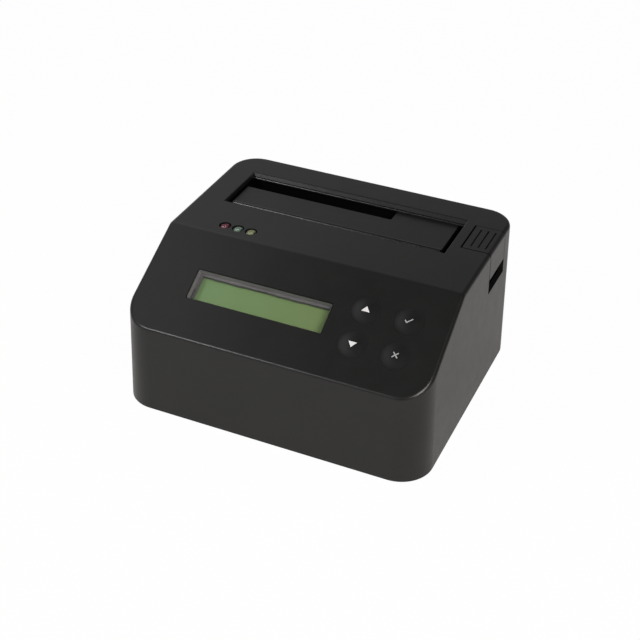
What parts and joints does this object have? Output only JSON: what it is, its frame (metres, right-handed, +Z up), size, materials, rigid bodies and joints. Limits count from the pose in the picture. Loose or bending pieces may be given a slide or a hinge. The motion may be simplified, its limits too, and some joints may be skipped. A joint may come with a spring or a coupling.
{
  "type": "hard drive eraser dock",
  "caption": "Desktop dock that takes a bare hard drive upright in a flapped well and erases it, with a display and keys on a sloping panel, status lamps and an eject button.",
  "frame": {"origin": "on the table under the middle of the housing", "axes": "+X to the right seen from the control panel, +Y to the rear, +Z up"},
  "size_m": [0.1394, 0.1202, 0.0674],
  "materials": {
    "housing": "fine moulded grain",
    "cover": "fine moulded grain",
    "foot_rubber": "matte",
    "screw_steel": "zinc plated",
    "well": "matte",
    "flap": "fine moulded grain",
    "pin_steel": "ground",
    "spring_steel": "drawn wire",
    "button": "fine moulded grain",
    "board": "solder mask",
    "connector": "moulded",
    "contact": "gold plated",
    "chip": "moulded",
    "capacitor": "satin",
    "port_metal": "tin plated",
    "port_plastic": "satin",
    "window": "clear",
    "gasket": "grey foam",
    "bezel": "black",
    "display": "green unlit display",
    "backlight": "diffuser",
    "ribbon": "flat lead",
    "key": "soft matte",
    "plunger": "moulded",
    "lamp_red": "tinted, unlit",
    "lamp_green": "tinted, unlit",
    "lamp_yellow": "tinted, unlit"
  },
  "bodies": {
    "base": {"upper_housing": "housing", "bottom_cover": "cover", "rubber_feet": "foot_rubber", "cover_screws": "screw_steel", "well_screws": "screw_steel", "carrier_screws": "screw_steel", "main_screws": "screw_steel", "display_screws": "screw_steel", "key_screws": "screw_steel", "lamp_screws": "screw_steel", "drive_well": "well", "flap_hinge_pin": "pin_steel", "rocker_pin": "pin_steel", "inlet_pin": "pin_steel", "flap_spring": "spring_steel", "eject_spring": "spring_steel", "carrier_board": "board", "main_board": "board", "display_board": "board", "key_board": "board", "lamp_board": "board", "drive_connector": "connector", "board_link": "connector", "connector_contacts": "contact", "main_chips": "chip", "key_switches": "chip", "main_capacitors": "capacitor", "data_port_shell": "port_metal", "data_port_tongue": "port_plastic", "power_inlet": "port_plastic", "power_switch_body": "port_plastic", "display_window": "window", "display_gasket": "gasket", "display_bezel": "bezel", "display_glass": "display", "display_backlight": "backlight", "lamp_ribbon": "ribbon", "display_ribbon": "ribbon", "key_ribbon": "ribbon", "lamp_red": "lamp_red", "lamp_green": "lamp_green", "lamp_yellow": "lamp_yellow"},
    "flap": {"dust_flap": "flap"},
    "eject_button": {"eject_button": "button"},
    "eject_rocker": {"eject_rocker": "button"},
    "power_rocker": {"power_rocker": "port_plastic"},
    "key_left": {"key_left": "key", "plunger_left": "plunger"},
    "key_right": {"key_right": "key", "plunger_right": "plunger"},
    "key_confirm": {"key_confirm": "key", "plunger_confirm": "plunger"},
    "key_cancel": {"key_cancel": "key", "plunger_cancel": "plunger"}
  },
  "joints": [
    {"name": "flap_hinge", "type": "hinge", "parent": "base", "child": "flap", "pos_m": [-0.003, 0.01086, 0.0628], "axis": [-1, 0, 0], "range_deg": [0, 88], "stiffness_Nm_per_rad": 0.002, "springref_deg": -57.3, "deforming": ["flap_spring"]},
    {"name": "eject_press", "type": "slide", "parent": "base", "child": "eject_button", "axis": [0, 0, -1], "range_m": [0, 0.0064], "stiffness_N_per_m": 300, "springref_m": -0.004, "deforming": ["eject_spring"]},
    {"name": "eject_rocker_turn", "type": "hinge", "parent": "base", "child": "eject_rocker", "pos_m": [0.038, 0.03636, 0.014], "axis": [0, 1, 0], "range_deg": [0, 16.5]},
    {"name": "power_rock", "type": "hinge", "parent": "base", "child": "power_rocker", "pos_m": [-0.03, 0.05507, 0.0135], "axis": [0, 0, 1], "range_deg": [0, 16]},
    {"name": "key_left_press", "type": "slide", "parent": "base", "child": "key_left", "axis": [0, 0.4955, -0.8686], "range_m": [0, 0.0006], "stiffness_N_per_m": 1500, "springref_m": -0.0004},
    {"name": "key_right_press", "type": "slide", "parent": "base", "child": "key_right", "axis": [0, 0.4955, -0.8686], "range_m": [0, 0.0006], "stiffness_N_per_m": 1500, "springref_m": -0.0004},
    {"name": "key_confirm_press", "type": "slide", "parent": "base", "child": "key_confirm", "axis": [0, 0.4955, -0.8686], "range_m": [0, 0.0006], "stiffness_N_per_m": 1500, "springref_m": -0.0004},
    {"name": "key_cancel_press", "type": "slide", "parent": "base", "child": "key_cancel", "axis": [0, 0.4955, -0.8686], "range_m": [0, 0.0006], "stiffness_N_per_m": 1500, "springref_m": -0.0004}
  ],
  "couplings": [
    {"joint": "eject_rocker_turn", "follows": "eject_press", "rad_per_m": 43.478}
  ]
}
